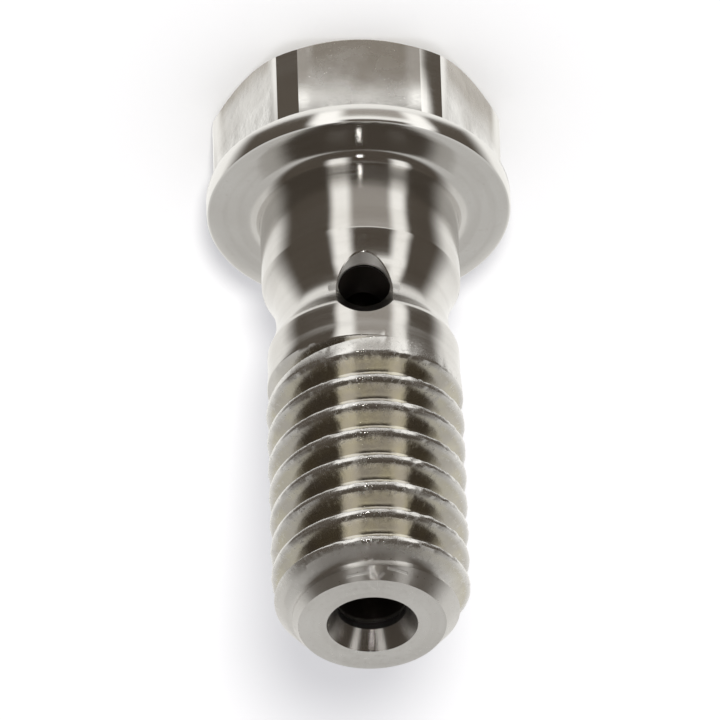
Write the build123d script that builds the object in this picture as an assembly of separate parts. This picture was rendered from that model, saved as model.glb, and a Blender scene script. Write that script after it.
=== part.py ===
"""A small one-piece banjo bolt: a hexagon head with a collar, a waisted shank with a cross hole,
and a drilled end with a right-hand thread. It stands on the head's flat face, threaded end up.

Millimetres, +Z up. The origin is the centre of the head's flat face.
"""

from build123d import *
import math
import os

# Head: a hexagon whose corners are turned round, over a thin collar
HEX_ACROSS_FLATS = 7.8
HEX_CORNER_D = 8.62
HEAD_FACE_D = 7.5
HEAD_CHAMFER_DEG = 40.0
HEAD_H = 3.7
COLLAR_D = 9.12
COLLAR_T = 0.7
COLLAR_EDGE_BREAK = 0.1

# Shank, with lengths measured from the collar's bearing face towards the tip
SEAT_FILLET_R = 0.4
UPPER_SHANK_D = 5.94
WAIST_START = 2.77
WAIST_END = 5.35
WAIST_D = 5.14
LOWER_SHANK_D = 5.74
LAND_START = 6.2
LAND_RISE_L = 0.5
SHANK_L = 15.3
TIP_CHAMFER_L = 0.95
TIP_FACE_D = 4.42

# Thread: one V groove wound round the land. Its start is where the groove comes out of the land,
# as a distance from the bearing face and a direction round the axis, counted from +X
THREAD_D = 5.9
THREAD_PITCH = 1.0
THREAD_DEPTH = 0.59
THREAD_FLANKS_DEG = 60.0
CREST_SHARE = 0.125
GROOVE_START = 6.73
GROOVE_START_DEG = -107.5
RUN_OUT_DEG = 100.0
TOOL_CLEARANCE = 0.03

# Passages: the bore down the axis and the hole across the waist
BORE_D = 2.05
BORE_MOUTH_D = 2.72
BORE_MOUTH_DEG = 60.0
BORE_END = 3.6
DRILL_POINT_DEG = 118.0
CROSS_HOLE_D = 1.55
CROSS_HOLE_AT = 4.5
CROSS_BREAK_DEG = 104.0
CROSS_BREAK_AT = 2.47

PART_FILE = "parts/banjo_bolt.step"


def on_profile(radius, height):
    """A point of the turned outline, which lies in the plane through the axis."""
    return (radius, 0, height)


def cone_frustum(low_r, high_r, low_z, high_z):
    """A cone's slice on the axis, between two heights."""
    cone = Cone(low_r, high_r, high_z - low_z, align=(Align.CENTER, Align.CENTER, Align.MIN))
    return Pos(0, 0, low_z) * cone


def turned_shank():
    """The collar and shank, revolved from one outline."""
    seat = HEAD_H
    back = seat - COLLAR_T
    collar_r = COLLAR_D / 2
    shank_r = UPPER_SHANK_D / 2
    lower_r = LOWER_SHANK_D / 2
    thread_r = THREAD_D / 2
    tip = seat + SHANK_L
    waist_middle = seat + (WAIST_START + WAIST_END) / 2
    fillet_out = shank_r + SEAT_FILLET_R

    outline = [
        Line(on_profile(0, back), on_profile(collar_r - COLLAR_EDGE_BREAK, back)),
        Line(on_profile(collar_r - COLLAR_EDGE_BREAK, back), on_profile(collar_r, back + COLLAR_EDGE_BREAK)),
        Line(on_profile(collar_r, back + COLLAR_EDGE_BREAK), on_profile(collar_r, seat - COLLAR_EDGE_BREAK)),
        Line(on_profile(collar_r, seat - COLLAR_EDGE_BREAK), on_profile(collar_r - COLLAR_EDGE_BREAK, seat)),
        Line(on_profile(collar_r - COLLAR_EDGE_BREAK, seat), on_profile(fillet_out, seat)),
        Bezier(  # weighted so that it is a true quarter circle
            on_profile(fillet_out, seat),
            on_profile(shank_r, seat),
            on_profile(shank_r, seat + SEAT_FILLET_R),
            weights=[1, math.cos(math.radians(45)), 1],
        ),
        Line(on_profile(shank_r, seat + SEAT_FILLET_R), on_profile(shank_r, seat + WAIST_START)),
        ThreePointArc(
            on_profile(shank_r, seat + WAIST_START),
            on_profile(WAIST_D / 2, waist_middle),
            on_profile(lower_r, seat + WAIST_END),
        ),
        Line(on_profile(lower_r, seat + WAIST_END), on_profile(lower_r, seat + LAND_START)),
        Line(
            on_profile(lower_r, seat + LAND_START),
            on_profile(thread_r, seat + LAND_START + LAND_RISE_L),
        ),
        Line(
            on_profile(thread_r, seat + LAND_START + LAND_RISE_L),
            on_profile(thread_r, tip - TIP_CHAMFER_L),
        ),
        Line(on_profile(thread_r, tip - TIP_CHAMFER_L), on_profile(TIP_FACE_D / 2, tip)),
        Line(on_profile(TIP_FACE_D / 2, tip), on_profile(0, tip)),
        Line(on_profile(0, tip), on_profile(0, back)),
    ]
    return revolve(make_face(Curve() + outline), axis=Axis.Z)


def hexagon_head():
    """The wrench hexagon, with turned corners and a chamfered face."""
    slope = math.tan(math.radians(HEAD_CHAMFER_DEG))
    prism_h = HEAD_H - COLLAR_T / 2
    flat_to_corner = HEX_ACROSS_FLATS / math.sqrt(3)
    prism = extrude(RegularPolygon(flat_to_corner, 6), amount=prism_h)
    turned = Cylinder(HEX_CORNER_D / 2, prism_h, align=(Align.CENTER, Align.CENTER, Align.MIN))
    face_r = HEAD_FACE_D / 2
    chamfer = cone_frustum(face_r, face_r + prism_h / slope, 0, prism_h)
    return prism & turned & chamfer


def wound(radius, height, turned_deg, rise, widening=0.0):
    """A right-hand helix that starts at this radius, height and direction. A negative rise winds
    it down, and widening is the radius that it gains on its way."""
    cone = math.atan2(widening, abs(rise))
    slant_pitch = THREAD_PITCH / math.cos(cone)
    line = Helix(slant_pitch, abs(rise), radius, cone_angle=math.degrees(cone))
    if rise < 0:
        line = Rot(180, 0, 0) * line
    return Pos(0, 0, height) * Rot(0, 0, turned_deg) * line


def between(edges):
    """The closed solid whose long faces join each edge to the next, with flat ends."""
    sides = [Face.make_surface_from_curves(a, b) for a, b in zip(edges, edges[1:] + edges[:1])]
    ends = [make_face(Polyline(*[e @ end for e in edges], close=True)).face() for end in (0, 1)]
    return Solid(Shell(sides + ends))


def thread_groove():
    """What the threading tool takes out of the land: the wound V, and its run-out at the start."""
    crest_r = THREAD_D / 2
    root_r = crest_r - THREAD_DEPTH
    clear_r = crest_r + TOOL_CLEARANCE
    slope = math.tan(math.radians(THREAD_FLANKS_DEG / 2))
    crest_half = THREAD_PITCH * (1 - CREST_SHARE) / 2
    root_half = crest_half - THREAD_DEPTH * slope
    clear_half = crest_half + TOOL_CLEARANCE * slope
    section = [(root_r, -root_half), (clear_r, -clear_half), (clear_r, clear_half), (root_r, root_half)]

    run_out = THREAD_PITCH * RUN_OUT_DEG / 360
    full = HEAD_H + GROOVE_START + run_out
    full_deg = GROOVE_START_DEG + RUN_OUT_DEG
    rise = HEAD_H + SHANK_L + THREAD_PITCH - full
    lift = THREAD_DEPTH + TOOL_CLEARANCE / 2
    wind = [wound(r, full + z, full_deg, rise).edge() for r, z in section]
    leave = [
        wound(r, full + z, full_deg, -run_out, lift if r < crest_r else 0.0).edge()
        for r, z in section
    ]
    return between(wind), between(leave)


def axial_passage():
    """The drilled bore, open at the tip with a countersunk mouth and a drill point at its end."""
    bore_r = BORE_D / 2
    mouth_r = BORE_MOUTH_D / 2
    tip = HEAD_H + SHANK_L
    end = HEAD_H + BORE_END
    point_h = bore_r / math.tan(math.radians(DRILL_POINT_DEG / 2))
    mouth_h = (mouth_r - bore_r) / math.tan(math.radians(BORE_MOUTH_DEG / 2))
    bore = Pos(0, 0, end) * Cylinder(
        bore_r, tip - end, align=(Align.CENTER, Align.CENTER, Align.MIN)
    )
    point = cone_frustum(0, bore_r, end - point_h, end)
    mouth = cone_frustum(bore_r, mouth_r, tip - mouth_h, tip)
    return bore + point + mouth


def cross_passage():
    """The hole across the waist, with a broken edge at each mouth."""
    hole_r = CROSS_HOLE_D / 2
    reach = UPPER_SHANK_D / 2 + CROSS_HOLE_D
    slope = math.tan(math.radians(CROSS_BREAK_DEG / 2))
    flared_r = hole_r + (reach - CROSS_BREAK_AT) * slope
    hole = Cylinder(hole_r, 2 * reach)
    flare = cone_frustum(hole_r, flared_r, CROSS_BREAK_AT, reach)
    far_flare = Rot(180, 0, 0) * flare
    return Pos(0, 0, HEAD_H + CROSS_HOLE_AT) * Rot(90, 0, 0) * (hole + flare + far_flare)


def banjo_bolt():
    """The whole bolt in one solid."""
    shank = turned_shank()
    for groove in thread_groove():
        shank = shank - groove
    blank = shank + hexagon_head()
    bolt = blank - axial_passage() - cross_passage()
    bolt.label = "banjo_bolt"
    return bolt


if __name__ == "__main__":
    os.makedirs("parts", exist_ok=True)
    export_step(banjo_bolt(), PART_FILE)
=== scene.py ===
import math

import bpy
from mathutils import Matrix, Vector


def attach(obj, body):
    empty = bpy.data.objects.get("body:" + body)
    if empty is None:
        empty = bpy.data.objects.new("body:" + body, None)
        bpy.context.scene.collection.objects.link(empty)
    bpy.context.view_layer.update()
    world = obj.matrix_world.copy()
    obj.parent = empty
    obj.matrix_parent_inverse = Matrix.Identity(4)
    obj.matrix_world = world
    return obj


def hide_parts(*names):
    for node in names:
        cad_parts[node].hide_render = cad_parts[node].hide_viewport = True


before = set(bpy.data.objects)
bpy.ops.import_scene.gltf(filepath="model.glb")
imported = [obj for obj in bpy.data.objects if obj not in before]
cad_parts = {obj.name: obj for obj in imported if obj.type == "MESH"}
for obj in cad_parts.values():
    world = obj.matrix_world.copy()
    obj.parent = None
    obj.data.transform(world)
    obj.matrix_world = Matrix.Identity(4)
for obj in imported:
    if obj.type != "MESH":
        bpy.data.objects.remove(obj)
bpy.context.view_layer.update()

# Everything on the bolt is modelled in millimetres, standing on its head, with its axis on Z,
# and the finished piece is brought to metres at the end.
MM = 0.001
SEAT_Z = 3.7  # height of the collar's bearing face; lengths along the shank count from it
AROUND = 144  # facets round the bolt

# Head
HEX_FLATS = 7.8
HEX_CORNERS_D = 8.62
HEAD_FACE_D = 7.5
HEAD_CHAMFER_DEG = 40
COLLAR_D = 9.12
COLLAR_T = 0.7
COLLAR_EDGE = 0.1

# Shank
SEAT_FILLET = 0.4
UPPER_R = 2.97
WAIST_START, WAIST_END = 2.77, 5.35
WAIST_R = 2.57
LOWER_R = 2.87
# The land rises to the thread in longer, softer steps than the solid's.
LAND_RISE = ((6.1, 2.87), (6.5, 2.90), (7.0, 2.93), (7.5, 2.95))
LAND_TO, THREAD_FROM = 6.2, 6.32  # where the plain land and the threaded length are joined

# Thread, M6 x 1, right-hand
PITCH = 1.0
CREST_R = 2.95
ROOT_R = 2.36
CREST_PHASE = 0.524  # distance from the bearing face of the crest's line on the +X side
GROOVE_START = 6.73  # the groove's floor leaves the land here
GROOVE_FULL = 7.008  # and has its whole depth here
BURR = 0.05  # how far the torn crests stray
SHANK_L = 15.3
THREAD_SPARE = 0.12  # the thread is wound this far past the tip, then faced off
HEX_BEVEL = 0.05
SMOOTH_BELOW_DEG = 24
TIP_CHAMFER_L = 0.95
TIP_FACE_R = 2.21

# Knocks on the chamfer: each from one point to another, across and above the seat
KNOCKS = (
    ((-0.12, 15.24), (0.07, 15.13)), ((-0.12, 15.24), (-0.33, 15.11)),
    ((-0.12, 15.24), (-0.15, 15.31)), ((0.79, 15.15), (0.10, 15.11)),
    ((-0.43, 15.00), (-1.03, 15.05)),
)

# Holes
BORE_R = 1.025
BORE_MOUTH_R = 1.36
BORE_MOUTH_DEG = 60
BORE_END_Z = 3.6  # over the head's face; the solid's bore ends 3.7 higher, at 7.3
DRILL_POINT_DEG = 118
CROSS_R = 0.775
CROSS_AT = 4.5
CROSS_BREAK_DEG = 100
CROSS_BREAK_AT = 2.44
CROSS_ROUND = 0.045  # soft inner edge of the break


# ---------------------------------------------------------------- modelling helpers
def select_only(*objs):
    """Selects these objects and nothing else, and makes the first one active."""
    if bpy.context.object and bpy.context.object.mode != "OBJECT":
        bpy.ops.object.mode_set(mode="OBJECT")
    bpy.ops.object.select_all(action="DESELECT")
    for o in objs:
        o.select_set(True)
    bpy.context.view_layer.objects.active = objs[0]


def edit(obj, mode="VERT"):
    select_only(obj)
    bpy.ops.object.mode_set(mode="EDIT")
    bpy.ops.mesh.select_mode(type=mode)


def done():
    bpy.ops.object.mode_set(mode="OBJECT")


def profile_line(name, points):
    """A line of edges through (radius, height) points on the +X side, drawn vertex by vertex."""
    r0, z0 = points[0]
    if bpy.context.object and bpy.context.object.mode != "OBJECT":
        done()
    bpy.ops.object.select_all(action="DESELECT")
    bpy.ops.mesh.primitive_plane_add(size=0.2, location=(0, 0, 0))
    line = bpy.context.object
    line.name = name
    edit(line)
    bpy.ops.mesh.select_all(action="SELECT")
    bpy.ops.mesh.merge(type="CENTER")
    bpy.ops.transform.translate(value=(r0, 0, z0))
    for (ra, za), (rb, zb) in zip(points, points[1:]):
        bpy.ops.mesh.extrude_vertices_move(
            TRANSFORM_OT_translate={"value": (rb - ra, 0, zb - za)}
        )
    done()
    return line


def turn(name, points, steps=AROUND):
    """A turned piece: the line through the points spun once round the bolt's axis."""
    piece = profile_line(name, points)
    edit(piece)
    bpy.ops.mesh.select_all(action="SELECT")
    bpy.ops.mesh.spin(
        steps=steps, angle=2 * math.pi, center=(0, 0, 0), axis=(0, 0, 1)
    )
    bpy.ops.mesh.select_all(action="SELECT")
    bpy.ops.mesh.remove_doubles(threshold=1e-4)
    bpy.ops.mesh.normals_make_consistent(inside=False)
    done()
    return piece


def cut(piece, tool, how="DIFFERENCE"):
    """Cuts, joins or trims a piece with another, which is used up."""
    select_only(piece)
    m = piece.modifiers.new(how, "BOOLEAN")
    m.operation, m.solver, m.object = how, "EXACT", tool
    bpy.ops.object.modifier_apply(modifier=m.name)
    bpy.data.objects.remove(tool)


def fillet(centre_r, centre_z, radius, start_deg, end_deg, steps):
    """Points along an arc in the profile, from one angle to another."""
    out = []
    for i in range(steps + 1):
        a = math.radians(start_deg + (end_deg - start_deg) * i / steps)
        out.append((centre_r + radius * math.cos(a), centre_z + radius * math.sin(a)))
    return out


def above_seat(points):
    return [(r, SEAT_Z + s) for r, s in points]


def select_edges(piece, wanted):
    """Selects, in edit mode, the open edges whose ends are both at a wanted height above the seat."""
    edit(piece, "EDGE")
    bpy.ops.mesh.select_all(action="DESELECT")
    bpy.ops.mesh.select_non_manifold(extend=False, use_wire=False, use_multi_face=False,
                                     use_non_contiguous=False, use_verts=False)
    done()
    for e in piece.data.edges:
        if e.select:
            e.select = all(wanted(piece.data.vertices[i].co.z - SEAT_Z) for i in e.vertices)
    edit(piece, "EDGE")


def arc_through(a, b, c, steps):
    """Points of the arc through three profile points, with both its ends."""
    (ax, ay), (bx, by), (cx, cy) = a, b, c
    d = 2 * (ax * (by - cy) + bx * (cy - ay) + cx * (ay - by))
    sa, sb, sc = ax * ax + ay * ay, bx * bx + by * by, cx * cx + cy * cy
    ox = (sa * (by - cy) + sb * (cy - ay) + sc * (ay - by)) / d
    oy = (sa * (cx - bx) + sb * (ax - cx) + sc * (bx - ax)) / d
    start, end = math.atan2(ay - oy, ax - ox), math.atan2(cy - oy, cx - ox)
    start, end = start % (2 * math.pi), end % (2 * math.pi)
    r = math.hypot(ax - ox, ay - oy)
    turns = [start + (end - start) * i / steps for i in range(steps + 1)]
    return [(ox + r * math.cos(t), oy + r * math.sin(t)) for t in turns]


# ---------------------------------------------------------------- the bolt
def waist_points():
    """The groove round the waist: one arc, deepest in the middle."""
    middle = (WAIST_START + WAIST_END) / 2
    return arc_through((UPPER_R, WAIST_START), (WAIST_R, middle), (LOWER_R, WAIST_END), 16)


def worn_edge(r, s, away):
    """The edge between a cylinder and the waist, rubbed down; away is the cylinder's side."""
    near, far = (r - 0.007, s + 0.006 * away), (r, s + 0.055 * away)
    return [far, near] if away < 0 else [near, far]


def shank_profile():
    e = COLLAR_EDGE
    collar_r = COLLAR_D / 2
    points = [(0, -COLLAR_T), (collar_r - e, -COLLAR_T)]
    points += [(collar_r - 0.3 * e, -COLLAR_T + 0.3 * e), (collar_r, -COLLAR_T + e)]
    points += [(collar_r, -e), (collar_r - 0.3 * e, -0.3 * e), (collar_r - e, 0)]
    points += [(4.1, 0), (3.75, 0)]
    points += fillet(UPPER_R + SEAT_FILLET, SEAT_FILLET, SEAT_FILLET, 270, 180, 7)
    points += [(UPPER_R, 1.2), (UPPER_R, 2.0)]
    points += worn_edge(UPPER_R, WAIST_START, -1)
    points += waist_points()[1:-1]
    points += worn_edge(LOWER_R, WAIST_END, 1)
    points += [(LOWER_R, 5.6), (LOWER_R, 5.9), (LOWER_R, 6.1)]
    points += [(land_r(LAND_TO), LAND_TO)]
    return above_seat(points)


def land_r(s):
    """Radius of the plain land that the thread is cut into."""
    if s <= LAND_RISE[0][0]:
        return LAND_RISE[0][1]
    for (sa, ra), (sb, rb) in zip(LAND_RISE, LAND_RISE[1:]):
        if s <= sb:
            return ra + (rb - ra) * (s - sa) / (sb - sa)
    return CREST_R


def thread_profile():
    """One turn of the thread from crest to crest: crest flat, rounded edge, flank, rounded root."""
    side = [(CREST_R, 0.0), (CREST_R - 0.003, 0.030), (CREST_R - 0.011, 0.055),
            (CREST_R - 0.028, 0.078)]
    side += [(2.79, 0.156), (2.64, 0.243), (2.50, 0.324)]
    side += [(2.405, 0.379), (2.376, 0.408), (ROOT_R + 0.004, 0.445)]
    other = [(r, PITCH - s) for r, s in reversed(side)]
    return side + [(ROOT_R, 0.5)] + other


def threaded_shell():
    first, turns = 4, 11
    shape = [(r, s + first + CREST_PHASE) for r, s in thread_profile()]
    shell = profile_line("threaded_shell", above_seat(shape))
    select_only(shell)
    m = shell.modifiers.new("thread", "SCREW")
    m.axis, m.angle, m.screw_offset, m.iterations = "Z", 2 * math.pi, PITCH, turns
    m.steps = m.render_steps = AROUND
    m.use_merge_vertices, m.merge_threshold = True, 1e-4
    bpy.ops.object.modifier_apply(modifier=m.name)
    edit(shell)
    bpy.ops.mesh.select_all(action="SELECT")
    bpy.ops.mesh.remove_doubles(threshold=1e-3)
    done()
    # The groove runs out of the land as the tool leaves it: shallower and narrower together.
    for v in shell.data.vertices:
        x, y, z = v.co
        s, r = z - SEAT_Z, math.hypot(x, y)
        turned = (math.atan2(y, x) / (2 * math.pi)) % 1.0
        along = s - CREST_PHASE - turned * PITCH
        lap = math.floor(along / PITCH + 1e-4)
        phase = along / PITCH - lap
        if phase < 0.01:
            r_new, s_new = r, s
        else:
            floor_s = (lap + 0.5 + turned) * PITCH + CREST_PHASE
            share = (floor_s - GROOVE_START) / (GROOVE_FULL - GROOVE_START)
            share = min(1.0, max(0.0, share))
            r_new = CREST_R - (CREST_R - r) * share
            s_new = floor_s + (s - floor_s) * share
        r_new -= CREST_R - land_r(s_new)
        k = r_new / r
        v.co = (x * k, y * k, SEAT_Z + s_new)
    return shell


def torn_crests(shank):
    """Rolls small burrs up along the thread's crests."""
    crests = shank.vertex_groups.new(name="crests")
    for v in shank.data.vertices:
        r, s = math.hypot(v.co.x, v.co.y), v.co.z - SEAT_Z
        if r > CREST_R - 0.03 and s > GROOVE_FULL:
            crests.add([v.index], 1.0, "REPLACE")
    tears = bpy.data.textures.new("tears", "CLOUDS")
    tears.noise_scale, tears.noise_depth = 0.16, 2
    select_only(shank)
    for direction in ("X", "Y", "Z"):
        m = shank.modifiers.new("burrs", "DISPLACE")
        m.texture, m.texture_coords = tears, "LOCAL"
        m.direction, m.strength, m.vertex_group = direction, BURR, "crests"
        bpy.ops.object.modifier_apply(modifier=m.name)
    shank.vertex_groups.clear()


def threaded_shank():
    """Collar, shank, waist and thread as one closed piece, still without its holes."""
    shank = turn("turned_shank", shank_profile())
    shell = threaded_shell()
    edit(shell)
    for s, upper in ((THREAD_FROM, False), (SHANK_L + THREAD_SPARE, True)):
        bpy.ops.mesh.select_all(action="SELECT")
        bpy.ops.mesh.bisect(
            plane_co=(0, 0, SEAT_Z + s), plane_no=(0, 0, 1), threshold=1e-5,
            clear_outer=upper, clear_inner=not upper,
        )
    bpy.ops.mesh.select_all(action="SELECT")
    bpy.ops.mesh.remove_doubles(threshold=2e-3)
    bpy.ops.mesh.dissolve_degenerate(threshold=1e-4)
    bpy.ops.mesh.delete_loose()
    done()
    select_only(shank, shell)
    bpy.ops.object.join()
    select_edges(shank, lambda s: abs(s - LAND_TO) < 5e-3 or abs(s - THREAD_FROM) < 5e-3)
    bpy.ops.mesh.bridge_edge_loops()
    done()
    select_edges(shank, lambda s: s > SHANK_L + THREAD_SPARE - 0.01)
    bpy.ops.mesh.edge_face_add()
    bpy.ops.mesh.select_all(action="SELECT")
    bpy.ops.mesh.remove_doubles(threshold=1e-4)
    bpy.ops.mesh.normals_make_consistent(inside=False)
    done()
    torn_crests(shank)
    return shank


def hexagon_head():
    """The hexagon, with its corners turned down and chamfered on the far face."""
    top = SEAT_Z - COLLAR_T + 0.3
    bpy.ops.object.select_all(action="DESELECT")
    bpy.ops.mesh.primitive_cylinder_add(
        vertices=6, radius=HEX_FLATS / math.sqrt(3), depth=2 * top, location=(0, 0, 0)
    )
    head = bpy.context.object
    head.name = "hexagon_head"
    edit(head)
    bpy.ops.mesh.select_all(action="SELECT")
    bpy.ops.transform.rotate(value=math.radians(30), orient_axis="Z", center_override=(0, 0, 0))
    bpy.ops.mesh.bevel(offset=HEX_BEVEL, segments=2, affect="EDGES")
    done()
    face_r, corner_r = HEAD_FACE_D / 2, HEX_CORNERS_D / 2
    rise = (corner_r - face_r) * math.tan(math.radians(HEAD_CHAMFER_DEG))
    blank = turn("head_blank", [
        (0, 0), (face_r, 0), (corner_r, rise), (corner_r, top), (0, top),
    ], 180)
    cut(head, blank, "INTERSECT")
    return head


def drilled():
    """What the drill and countersink take out of the tip."""
    mouth_slope = math.tan(math.radians(BORE_MOUTH_DEG / 2))
    mouth_depth = (BORE_MOUTH_R - BORE_R) / mouth_slope
    point = BORE_R / math.tan(math.radians(DRILL_POINT_DEG / 2))
    return turn("drill", above_seat([
        (0, BORE_END_Z - SEAT_Z - point),
        (BORE_R, BORE_END_Z - SEAT_Z),
        (BORE_R, SHANK_L - mouth_depth),
        (BORE_MOUTH_R + mouth_slope * 0.5, SHANK_L + 0.5),
        (0, SHANK_L + 0.5),
    ]), 96)


def cross_drilled():
    """The cross hole through both walls, with both its mouths broken."""
    slope = math.tan(math.radians(CROSS_BREAK_DEG / 2))
    mouth, soft = CROSS_BREAK_AT, CROSS_ROUND
    out_r = CROSS_R + soft + slope * 1.2
    hole = turn("cross_drill", [
        (0, -mouth - 1.2), (out_r, -mouth - 1.2), (CROSS_R + soft, -mouth),
        (CROSS_R + 0.3 * soft, -mouth + 0.6 * soft), (CROSS_R, -mouth + 1.4 * soft),
        (CROSS_R, mouth - 1.4 * soft), (CROSS_R + 0.3 * soft, mouth - 0.6 * soft),
        (CROSS_R + soft, mouth), (out_r, mouth + 1.2), (0, mouth + 1.2),
    ], 72)
    edit(hole)
    bpy.ops.mesh.select_all(action="SELECT")
    bpy.ops.transform.rotate(value=math.radians(90), orient_axis="X", center_override=(0, 0, 0))
    bpy.ops.transform.translate(value=(0, 0, SEAT_Z + CROSS_AT))
    done()
    return hole


def tip_turning():
    """What the lathe takes off the tip after the thread is cut: the chamfer and the end face."""
    slope = (CREST_R - TIP_FACE_R) / TIP_CHAMFER_L
    return turn("tip_turning", above_seat([
        (0, SHANK_L), (TIP_FACE_R, SHANK_L),
        (TIP_FACE_R + slope * 1.6, SHANK_L - 1.6), (5.0, SHANK_L - 1.6),
        (5.0, SHANK_L + 1.0), (0, SHANK_L + 1.0),
    ]))


def banjo_bolt():
    body = threaded_shank()
    cut(body, tip_turning())
    cut(body, hexagon_head(), "UNION")
    cut(body, drilled())
    cut(body, cross_drilled())
    body.name = "banjo_bolt_body"
    edit(body)
    bpy.ops.mesh.select_all(action="SELECT")
    bpy.ops.mesh.remove_doubles(threshold=2e-4)
    bpy.ops.mesh.normals_make_consistent(inside=False)
    bpy.ops.transform.resize(value=(MM, MM, MM), center_override=(0, 0, 0))
    done()
    select_only(body)
    bpy.ops.object.shade_smooth_by_angle(angle=math.radians(SMOOTH_BELOW_DEG))
    return body


# ---------------------------------------------------------------- node helpers
class Graph:
    """Adds nodes to a tree and joins them; plain numbers and colours go straight on the sockets."""

    def __init__(self, tree):
        self.tree = tree
        tree.nodes.clear()

    def node(self, kind, **settings):
        n = self.tree.nodes.new("ShaderNode" + kind)
        for name, value in settings.items():
            setattr(n, name, value)
        return n

    def put(self, socket, value):
        if value is None:
            return
        if isinstance(value, bpy.types.NodeSocket):
            self.tree.links.new(value, socket)
        else:
            socket.default_value = value

    def maths(self, how, a, b=None, c=None):
        n = self.node("Math", operation=how)
        for socket, value in zip(n.inputs, (a, b, c)):
            self.put(socket, value)
        return n.outputs[0]

    def add(self, *terms):
        total = terms[0]
        for t in terms[1:]:
            total = self.maths("ADD", total, t)
        return total

    def times(self, *terms):
        total = terms[0]
        for t in terms[1:]:
            total = self.maths("MULTIPLY", total, t)
        return total

    def inverse(self, value):
        return self.maths("SUBTRACT", 1.0, value)

    def smooth(self, value, low, high):
        """Nought below low, one above high, soft in between; low may be the larger."""
        if low > high:
            return self.inverse(self.smooth(value, high, low))
        n = self.node("MapRange", interpolation_type="SMOOTHSTEP")
        self.put(n.inputs[0], value)
        n.inputs[1].default_value, n.inputs[2].default_value = low, high
        return n.outputs[0]

    def mix(self, factor, a, b):
        n = self.node("Mix", data_type="RGBA")
        for socket, value in ((n.inputs[0], factor), (n.inputs[6], a), (n.inputs[7], b)):
            self.put(socket, value)
        return n.outputs[2]

    def blend(self, factor, a, b):
        """The same for plain numbers."""
        n = self.node("Mix", data_type="FLOAT")
        for socket, value in zip(n.inputs[:1] + n.inputs[2:4], (factor, a, b)):
            self.put(socket, value)
        return n.outputs[0]

    def noise(self, place, scale, detail=2.0, roughness=0.5, w=None):
        n = self.node("TexNoise", noise_dimensions="3D" if w is None else "4D")
        self.put(n.inputs["Vector"], place)
        if w is not None:
            self.put(n.inputs["W"], w)
        n.inputs["Scale"].default_value = scale
        n.inputs["Detail"].default_value = detail
        n.inputs["Roughness"].default_value = roughness
        return n.outputs[0]

    def along(self, point, arrow, start):
        """How far a point lies from the start, measured along the arrow."""
        moved = self.node("VectorMath", operation="SUBTRACT")
        self.put(moved.inputs[0], point)
        moved.inputs[1].default_value = start
        n = self.node("VectorMath", operation="DOT_PRODUCT")
        self.put(n.inputs[0], moved.outputs[0])
        n.inputs[1].default_value = arrow
        return n.outputs["Value"]

    def centred(self, value):
        """A noise moved down so that it swings evenly round nought."""
        return self.maths("SUBTRACT", value, 0.5)

    def place(self, x, y, z):
        n = self.node("CombineXYZ")
        for socket, value in zip(n.inputs, (x, y, z)):
            self.put(socket, value)
        return n.outputs[0]


# ---------------------------------------------------------------- materials
PLAIN_STEEL = (0.60, 0.58, 0.55, 1)
PALE_STEEL = (0.74, 0.73, 0.715, 1)
PITTED = (0.5, 0.47, 0.43, 1)
# Painted shade for the head's far end.
HEAD_FAR_SHADE = (0.36, 0.325, 0.28, 1)
# Painted shade for the flat facing -Y.
FRONT_FLAT_SHADE = (0.33, 0.295, 0.25, 1)
# Painted shade for the thread's grooves, grey to yellowish.
GROOVE_SHADE_GREY = (0.52, 0.49, 0.435, 1)
GROOVE_SHADE_YELLOW = (0.58, 0.545, 0.44, 1)
# Painted highlight for the head's flats near the collar.
FLAT_HIGHLIGHT = (0.93, 0.925, 0.91, 1)
DULL_RINGS = (0.5, 0.48, 0.45, 1)
RUBBED_BRIGHT = (0.84, 0.83, 0.81, 1)
# Painted shade for the countersink.
MOUTH_SHADE = (0.34, 0.32, 0.30, 1)
# Painted shade for inside the bore.
BORE_SHADE = (0.05, 0.043, 0.038, 1)
ALONG_AXIS_SPREAD = 0.85  # how far the turning marks stretch what is reflected


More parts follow.
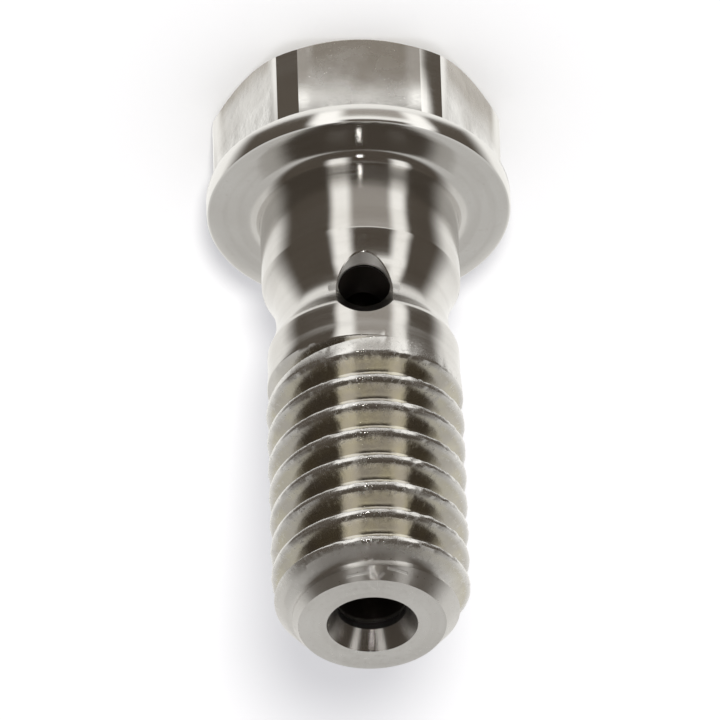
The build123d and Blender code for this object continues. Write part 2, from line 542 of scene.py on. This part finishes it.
def turned_steel():
    """Bright turned steel: satin flats, polished shank and thread with torn crests; painted shade and
    a painted highlight on the head, brownish painted shade in the grooves, painted shade in the
    countersink and bore.
    """
    mat = bpy.data.materials.new("turned_steel")
    mat.use_nodes = True
    g = Graph(mat.node_tree)
    scaled = g.node("VectorMath", operation="SCALE")
    g.put(scaled.inputs[0], g.node("TexCoord").outputs["Object"])
    scaled.inputs["Scale"].default_value = 1 / MM
    p = scaled.outputs[0]
    axes = g.node("SeparateXYZ")
    g.put(axes.inputs[0], p)
    x, y, z = axes.outputs
    r = g.maths("SQRT", g.add(g.times(x, x), g.times(y, y)))

    # Marks left by the tools: rings where it was turned, streaks along the drawn flats.
    rings = g.noise(g.place(g.times(z, 11.0), g.times(x, 0.5), g.times(y, 0.5)), 1.0, 3.0, 0.65,
                    g.times(r, 11.0))
    broad_rings = g.noise(g.place(g.times(z, 2.6), g.times(x, 0.25), g.times(y, 0.25)), 1.0, 2.0,
                          0.5, g.times(r, 2.6))
    streaks = g.noise(g.place(g.times(x, 9.0), g.times(y, 9.0), g.times(z, 1.1)), 1.0, 3.0, 0.6)
    blotches = g.noise(p, 1.3, 4.0, 0.6)
    pits = g.noise(p, 7.5, 3.0, 0.7)

    # Where each surface is.
    drift = g.noise(p, 0.42, 2.0, 0.5)
    ragged = g.add(z, g.times(g.centred(blotches), 0.5))
    on_head = g.smooth(z, SEAT_Z - COLLAR_T + 0.02, SEAT_Z - COLLAR_T - 0.02)
    head_corner = g.times(on_head, g.smooth(r, 4.1, 4.25))
    on_thread = g.smooth(z, SEAT_Z + 6.5, SEAT_Z + 7.1)
    on_tip = g.smooth(ragged, SEAT_Z + SHANK_L - TIP_CHAMFER_L - 0.15, SEAT_Z + SHANK_L - 0.75)
    crest = g.times(on_thread, g.smooth(r, CREST_R - 0.09, CREST_R - 0.02))
    in_groove = g.times(on_thread, g.smooth(r, CREST_R - 0.05, CREST_R - 0.2), g.inverse(on_tip))
    inside = g.times(g.smooth(r, 2.34, 2.30), g.smooth(z, SEAT_Z + 14.5, SEAT_Z + 14.3))
    mouth = g.times(g.smooth(r, BORE_MOUTH_R + 0.02, BORE_MOUTH_R - 0.01),
                    g.smooth(z, SEAT_Z + 14.3, SEAT_Z + 14.5))
    on_seat = g.times(g.smooth(r, 3.2, 3.4), g.smooth(z, SEAT_Z - 0.02, SEAT_Z - 0.005),
                      g.smooth(z, SEAT_Z + 0.2, SEAT_Z + 0.1))
    rim = g.times(g.smooth(r, 4.45, 4.52), g.inverse(on_head))
    up = g.maths("SUBTRACT", z, SEAT_Z + CROSS_AT)
    from_hole = g.maths("SQRT", g.add(g.times(x, x), g.times(up, up)))
    from_waist = g.maths("SUBTRACT", z, SEAT_Z + (WAIST_START + WAIST_END) / 2)
    hollow = g.maths("MULTIPLY_ADD", g.times(from_waist, from_waist), 0.24, WAIST_R)
    hole_edge = g.times(g.smooth(g.maths("SUBTRACT", hollow, r), 0.012, 0.03),
                        g.smooth(from_hole, 1.1, 1.05), g.smooth(from_hole, 0.76, 0.79),
                        g.smooth(r, 2.36, 2.40), g.smooth(up, 0.3, 0.1))

    knocked = 0.0
    for (xa, sa), (xb, sb) in KNOCKS:
        length = math.hypot(xb - xa, sb - sa)
        across, rise = (xb - xa) / length, (sb - sa) / length
        off = g.maths("ABSOLUTE", g.along(p, (rise, 0, -across), (xa, 0, SEAT_Z + sa)))
        along = g.along(p, (across, 0, rise), (xa, 0, SEAT_Z + sa))
        mark = g.times(g.smooth(off, 0.042, 0.02), g.smooth(along, -0.02, 0.01),
                       g.smooth(along, length, length - 0.05))
        knocked = g.maths("MAXIMUM", mark, knocked)
    knocked = g.times(knocked, g.smooth(y, -1.8, -2.0))

    # Colour.
    steel = g.mix(drift, PLAIN_STEEL, PALE_STEEL)
    steel = g.mix(g.times(g.smooth(pits, 0.55, 0.8), 0.35), steel, PITTED)
    # Painted shade: the head darkens towards its far face, with a ragged, mottled edge.
    ragged_head_height = g.add(z, g.times(g.centred(blotches), 1.1),
                           g.times(g.centred(drift), 3.0))
    head_far_shade = g.times(on_head, g.inverse(head_corner), g.smooth(ragged_head_height, 1.6, 0.5), 0.65)
    steel = g.mix(head_far_shade, steel, HEAD_FAR_SHADE)
    # Painted shade: the flat facing -Y darkens further towards the far face.
    front_flat_shade = g.times(on_head, g.smooth(y, -3.45, -3.8), g.smooth(ragged_head_height, 2.0, 1.1), 0.42)
    steel = g.mix(front_flat_shade, steel, FRONT_FLAT_SHADE)
    # Painted shade in the thread's grooves, blotched from grey to yellowish.
    groove = g.mix(g.smooth(blotches, 0.38, 0.62), GROOVE_SHADE_GREY, GROOVE_SHADE_YELLOW)
    # Painted highlight: the head's flats turn paler towards the collar.
    flat_highlight = g.times(on_head, g.smooth(ragged_head_height, 1.6, 2.6))
    steel = g.mix(g.times(flat_highlight, 0.9), steel, FLAT_HIGHLIGHT)
    steel = g.mix(g.times(g.inverse(on_head), g.smooth(broad_rings, 0.4, 0.65), 0.25), steel,
                  DULL_RINGS)
    steel = g.mix(g.times(in_groove, 0.85), steel, groove)
    specks = g.times(on_thread, g.smooth(r, 2.62, 2.8), g.smooth(pits, 0.54, 0.66))
    worn = g.maths("MAXIMUM", crest, g.maths("MAXIMUM", head_corner, rim))
    worn = g.maths("MAXIMUM", worn, g.maths("MAXIMUM", specks, knocked))
    worn = g.maths("MAXIMUM", worn, hole_edge)
    steel = g.mix(g.times(worn, 0.75), steel, RUBBED_BRIGHT)
    # Painted shade: the countersink is dimmed.
    steel = g.mix(g.times(mouth, 0.6), steel, MOUTH_SHADE)
    # Painted shade: everything within 2.3 mm of the axis below the tip's mouth, the bore above all, is
    # painted nearly black.
    steel = g.mix(inside, steel, BORE_SHADE)

    # Roughness.
    satin = g.times(on_head, g.inverse(head_corner))
    toward_collar = g.smooth(ragged_head_height, 0.8, 2.4)
    flats = g.add(g.blend(toward_collar, 0.27, 0.24), g.times(g.centred(blotches), 0.25))
    rough = g.add(0.13, g.times(g.centred(rings), 0.16))
    rough = g.blend(satin, rough, flats)
    rough = g.blend(on_seat, rough, g.add(0.13, g.times(g.centred(rings), 0.12)))
    rough = g.blend(on_tip, rough, g.add(0.32, g.times(g.centred(pits), 0.3)))
    rough = g.blend(mouth, rough, 0.24)
    rough = g.blend(crest, rough, 0.26)
    rough = g.blend(specks, rough, 0.45)
    rough = g.blend(knocked, rough, 0.5)
    rough = g.blend(hole_edge, rough, 0.6)
    rough = g.blend(inside, rough, 0.6)

    # Relief, in thousandths of a millimetre.
    turned = g.add(g.times(rings, 0.4), g.times(broad_rings, 1.3))
    swell = g.maths("MAXIMUM", g.maths("SUBTRACT", z, 1.1), 0.0)
    drawn = g.add(g.times(streaks, 0.8), g.times(pits, 1.0), g.times(blotches, 30.0))
    relief = g.blend(satin, turned, drawn)
    relief = g.blend(on_tip, relief, g.add(g.times(pits, 2.0), g.times(rings, 0.8)))
    relief = g.add(relief, g.times(on_thread, g.inverse(on_tip), pits, 2.6), g.times(knocked, -6.0),
                   g.times(on_head, swell, swell, -70.0))
    bump = g.node("Bump")
    bump.inputs["Strength"].default_value = 1.0
    bump.inputs["Distance"].default_value = MM * MM
    g.put(bump.inputs["Height"], relief)

    bsdf = g.node("BsdfPrincipled")
    g.put(bsdf.inputs["Base Color"], steel)
    g.put(bsdf.inputs["Metallic"], 1.0)
    g.put(bsdf.inputs["Roughness"], rough)
    g.put(bsdf.inputs["Normal"], bump.outputs[0])
    # The turning marks run round the axis and spread what they reflect along it.
    tangent = g.node("Tangent", direction_type="RADIAL", axis="Z")
    g.put(bsdf.inputs["Tangent"], tangent.outputs[0])
    bsdf.inputs["Anisotropic"].default_value = ALONG_AXIS_SPREAD
    bsdf.inputs["Anisotropic Rotation"].default_value = 0.25
    g.put(g.node("OutputMaterial").inputs[0], bsdf.outputs[0])
    return mat


bolt = banjo_bolt()
bolt.data.materials.clear()
bolt.data.materials.append(turned_steel())
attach(bolt, "root")
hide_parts("banjo_bolt")


# ---------------------------------------------------------------- floor
bpy.ops.object.select_all(action="DESELECT")
bpy.ops.mesh.primitive_plane_add(size=2.0, location=(0, 0, 0))
floor = bpy.context.object
floor.name = "floor"
paper = bpy.data.materials.new("white_paper")
paper.use_nodes = True
paper.node_tree.nodes["Principled BSDF"].inputs["Base Color"].default_value = (0.85, 0.85, 0.85, 1)
paper.node_tree.nodes["Principled BSDF"].inputs["Roughness"].default_value = 0.9
floor.data.materials.append(paper)


# ---------------------------------------------------------------- camera
def camera():
    """Looks down at the threaded end, with the head at the top of the picture."""
    lens, sensor, field = 1500.0, 36.0, 21.493 * MM
    turn_round, lean = math.radians(2.2), math.radians(1.9)
    target = Vector((0.105, 0.0, 9.185)) * MM
    back = Vector((0.8 * math.sin(turn_round), -0.8 * math.cos(turn_round), 0.6))
    side = Vector((-math.cos(turn_round), -math.sin(turn_round), 0))
    tipward = Vector((-0.6 * math.sin(turn_round), 0.6 * math.cos(turn_round), 0.8))
    right = side * math.cos(lean) + tipward * math.sin(lean)
    down = tipward * math.cos(lean) - side * math.sin(lean)
    data = bpy.data.cameras.new("camera")
    data.lens, data.sensor_width = lens, sensor
    distance = field * lens / sensor
    data.clip_start, data.clip_end = 0.1, 3.0
    cam = bpy.data.objects.new("camera", data)
    bpy.context.scene.collection.objects.link(cam)
    turned = Matrix((right, -down, back)).transposed().to_4x4()
    turned.translation = target + back * distance
    cam.matrix_world = turned
    bpy.context.scene.camera = cam


camera()


# ---------------------------------------------------------------- light
# What the polished steel sees round it: a dark room, pale paper under and behind the bolt, two
# tall panels before it with a wall between their lower ends, and a low wide panel across both.
# Places are degrees round the bolt, with 0 before it and 180 behind it. Heights are the sine of
# the angle over the horizon.
ROOM = 0.10
PAPER_UNDER, PAPER_BEHIND, PAPER_HIGH = 1.05, 0.85, 0.65
PAPER_FROM = 102  # degrees from the front to the paper's edge, on both sides
PANEL_LIGHT, WALL_LIGHT = 1.25, 0.40
LEFT_PANEL, RIGHT_PANEL = (-33, -12), (35, 53)
PANELS_BOTTOM, PANELS_TOP = -0.74, 0.50
LOW_PANEL_BOTTOM, LOW_PANEL_TOP = -0.40, -0.20
SOFT_SIDES, SOFT_ENDS, SOFT_PAPER = 6, 0.06, 18  # how soft the edges are, in the same measures
SPOT_TOWARD = (-0.014, -0.80, 0.60)  # a small bright lamp, seen as thin lines down the steel
SPOT_LIGHT, SPOT_INNER_DEG, SPOT_OUTER_DEG = 60, 1.1, 1.6
ROOM_ON_FLOOR, ROOM_ON_FLOOR_LIGHT = (0.97, 0.965, 1, 1), 0.8  # what lights the dull surfaces


def tinted(value, neutral_from=0.6):
    """Dim surroundings are brownish and bright ones nearly neutral."""
    share = min(1.0, value / neutral_from)
    return (value, value * (0.81 + 0.18 * share), value * (0.62 + 0.34 * share), 1)


def lamp(name, toward, size, strength, colour):
    """A round lamp three metres off; it lights the floor and the steel doesn't show it."""
    data = bpy.data.lights.new(name, "AREA")
    data.shape, data.size, data.energy, data.color = "DISK", size, strength, colour
    obj = bpy.data.objects.new(name, data)
    bpy.context.scene.collection.objects.link(obj)
    obj.location = 3 * Vector(toward).normalized()
    obj.rotation_mode = "QUATERNION"
    obj.rotation_quaternion = Vector(toward).to_track_quat("Z", "Y")
    obj.visible_glossy = obj.visible_camera = False


lamp("key", (0.005, -0.84, 0.55), 0.3, 82.0, (1.0, 0.99, 0.96))


def studio_world():
    """The surroundings: white to the camera, panels and paper to the steel, even light to the rest."""
    world = bpy.data.worlds.new("studio")
    bpy.context.scene.world = world
    world.use_nodes = True
    g = Graph(world.node_tree)
    toward = g.node("TexCoord").outputs["Generated"]
    axes = g.node("SeparateXYZ")
    g.put(axes.inputs[0], toward)
    x, y, z = axes.outputs
    turn = g.times(g.maths("ARCTAN2", g.times(x, -1.0), g.times(y, -1.0)), 180 / math.pi)

    def lit(seen, value, sides, bottom, top):
        """Adds one evenly lit surface with soft edges."""
        left, right = sides
        mask = g.times(
            g.smooth(turn, left - SOFT_SIDES, left + SOFT_SIDES),
            g.smooth(turn, right + SOFT_SIDES, right - SOFT_SIDES),
            g.smooth(z, bottom - SOFT_ENDS, bottom + SOFT_ENDS),
            g.smooth(z, top + SOFT_ENDS, top - SOFT_ENDS),
        )
        return g.mix(mask, seen, tinted(value))

    paper = g.mix(g.smooth(z, -0.4, 0.0), tinted(PAPER_UNDER), tinted(PAPER_BEHIND))
    paper = g.mix(g.smooth(z, 0.35, 0.6), paper, tinted(PAPER_HIGH))
    behind = g.smooth(g.maths("ABSOLUTE", turn), PAPER_FROM - SOFT_PAPER, PAPER_FROM + SOFT_PAPER)
    under = g.smooth(z, PANELS_BOTTOM + SOFT_ENDS, PANELS_BOTTOM - SOFT_ENDS)
    seen = g.mix(g.maths("MAXIMUM", behind, under), tinted(ROOM), paper)
    between = (LEFT_PANEL[0], RIGHT_PANEL[1])
    seen = lit(seen, WALL_LIGHT, between, PANELS_BOTTOM, LOW_PANEL_BOTTOM)
    for sides in (LEFT_PANEL, RIGHT_PANEL):
        seen = lit(seen, PANEL_LIGHT, sides, PANELS_BOTTOM, PANELS_TOP)
    seen = lit(seen, PANEL_LIGHT, between, LOW_PANEL_BOTTOM, LOW_PANEL_TOP)
    dot = g.node("VectorMath", operation="DOT_PRODUCT")
    g.put(dot.inputs[0], toward)
    dot.inputs[1].default_value = Vector(SPOT_TOWARD).normalized()
    spot = g.smooth(dot.outputs["Value"], math.cos(math.radians(SPOT_OUTER_DEG)),
                    math.cos(math.radians(SPOT_INNER_DEG)))
    seen = g.mix(spot, seen, (SPOT_LIGHT, SPOT_LIGHT, SPOT_LIGHT, 1))

    def background(colour, strength=1.0):
        n = g.node("Background")
        g.put(n.inputs["Color"], colour)
        n.inputs["Strength"].default_value = strength
        return n.outputs[0]

    def chosen(factor, a, b):
        n = g.node("MixShader")
        for socket, value in zip(n.inputs, (factor, a, b)):
            g.put(socket, value)
        return n.outputs[0]

    path = g.node("LightPath")
    light = chosen(path.outputs["Is Glossy Ray"], background(ROOM_ON_FLOOR, ROOM_ON_FLOOR_LIGHT),
                   background(seen))
    light = chosen(path.outputs["Is Camera Ray"], light, background((1, 1, 1, 1)))
    g.put(g.node("OutputWorld").inputs[0], light)


studio_world()
floor.visible_glossy = False

bpy.context.scene.view_settings.view_transform = "Standard"
